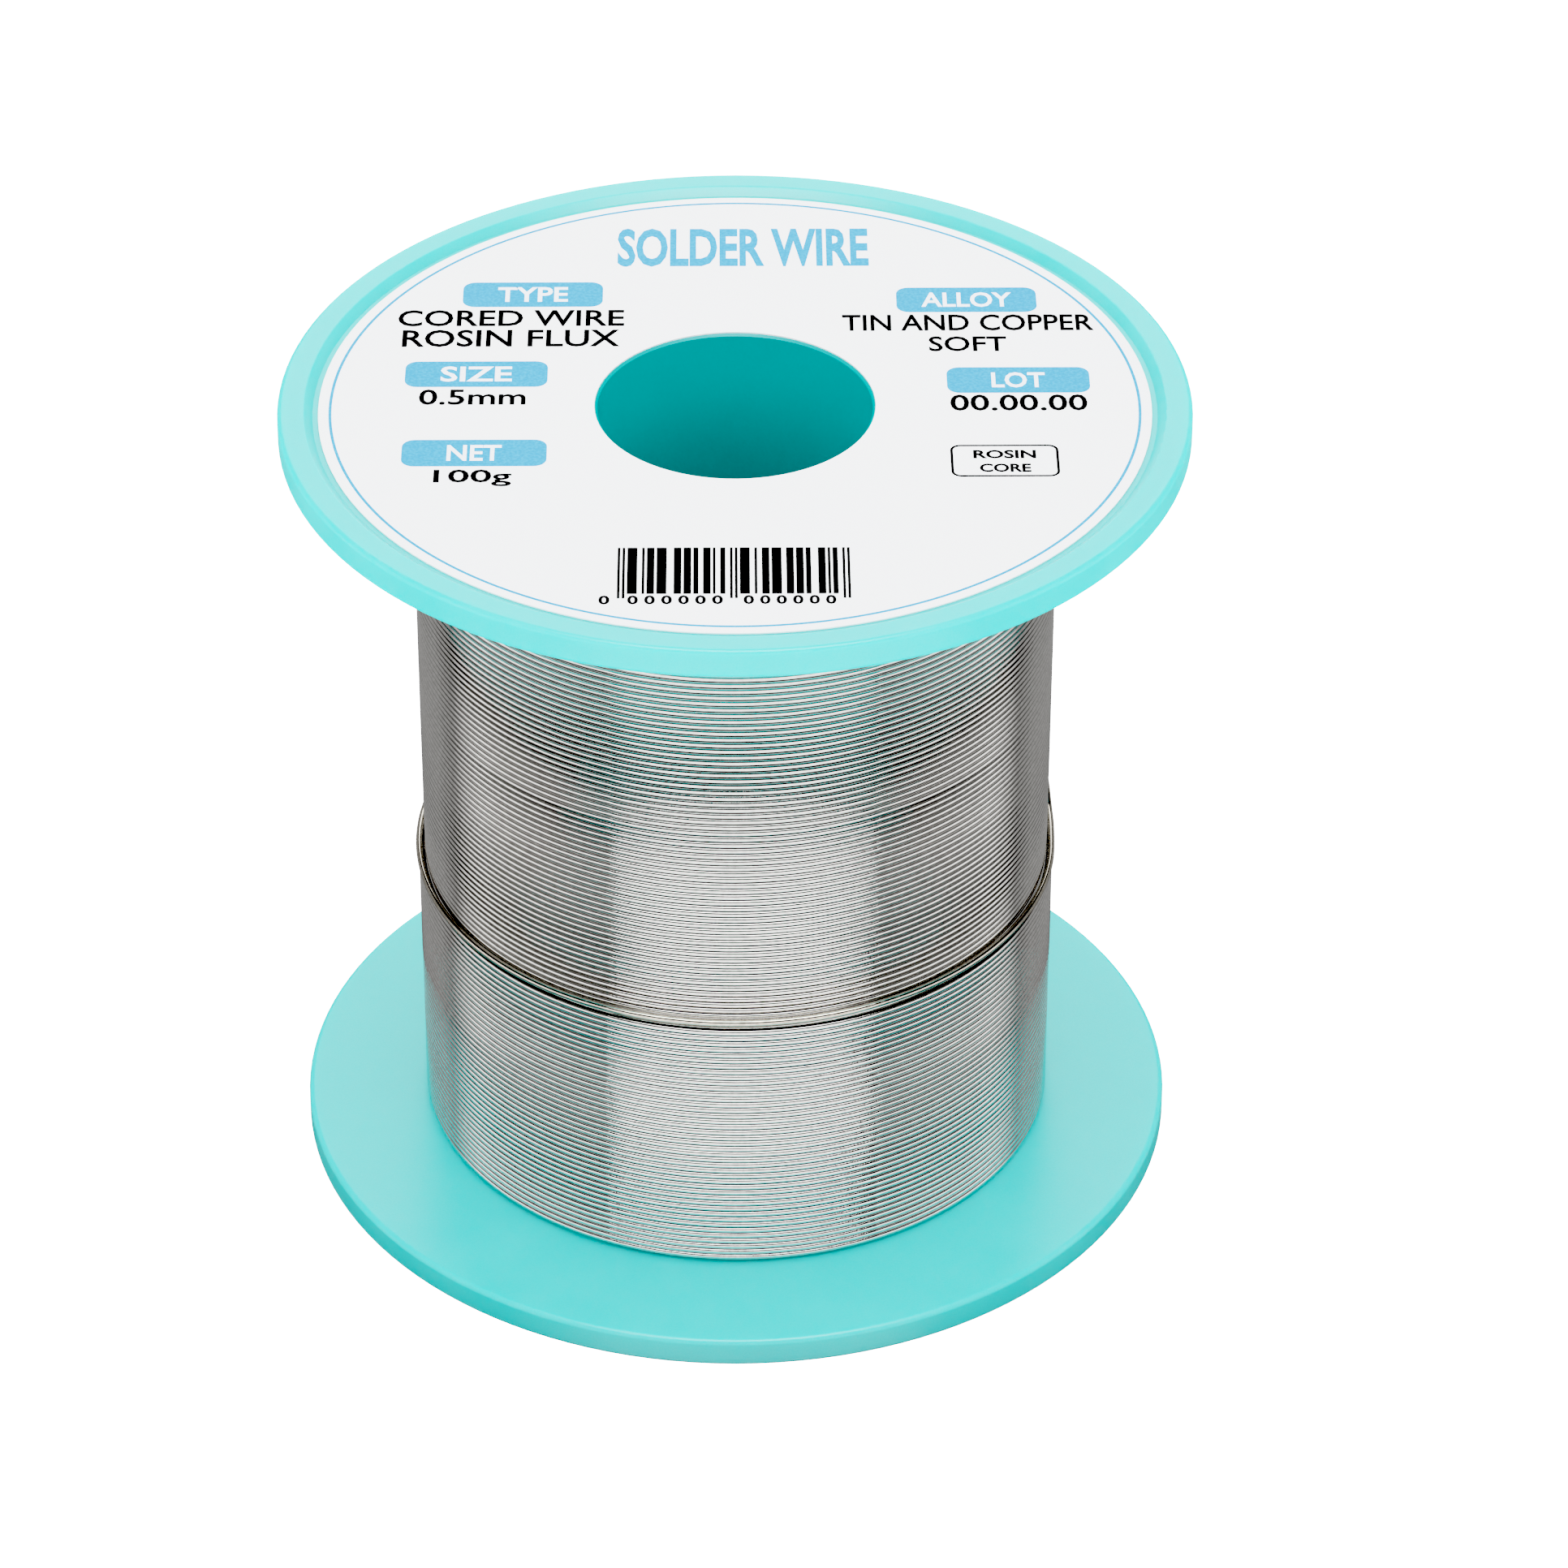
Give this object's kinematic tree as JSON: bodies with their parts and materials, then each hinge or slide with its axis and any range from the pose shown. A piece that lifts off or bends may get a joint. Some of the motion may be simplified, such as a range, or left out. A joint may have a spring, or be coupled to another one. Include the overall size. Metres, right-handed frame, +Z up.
{
  "type": "solder wire spool",
  "caption": "Two-flange moulded spool with a hollow bore and a paper label, close wound with thin cored solder wire.",
  "frame": {"origin": "middle of the underside, where the spool's axis meets the surface it stands on", "axes": "+Z up along the spool's axis, towards the labelled flange; -Y is the side the label reads from"},
  "size_m": [0.065, 0.065, 0.062],
  "materials": {
    "teal_plastic": "smooth injection moulding with a soft sheen",
    "label_paper": "coated white label paper, printed",
    "solder": "bright drawn tin alloy",
    "flux": "amber rosin"
  },
  "bodies": {
    "spool": {"flange_bottom": "teal_plastic", "flange_top": "teal_plastic", "barrel": "teal_plastic", "bore_tube": "teal_plastic", "label_top": "label_paper", "wire_layer_1": "solder", "wire_layer_2": "solder", "wire_layer_3": "solder", "wire_layer_4": "solder", "wire_layer_5": "solder", "wire_layer_6": "solder", "wire_start": "solder"},
    "loose_end": {"loose_end_wire": "solder", "loose_end_flux": "flux"}
  },
  "joints": [
    {"name": "unwind", "type": "hinge", "parent": "spool", "child": "loose_end", "pos_m": [0, 0, 0.0242], "axis": [0, 0, 1], "continuous": true}
  ]
}
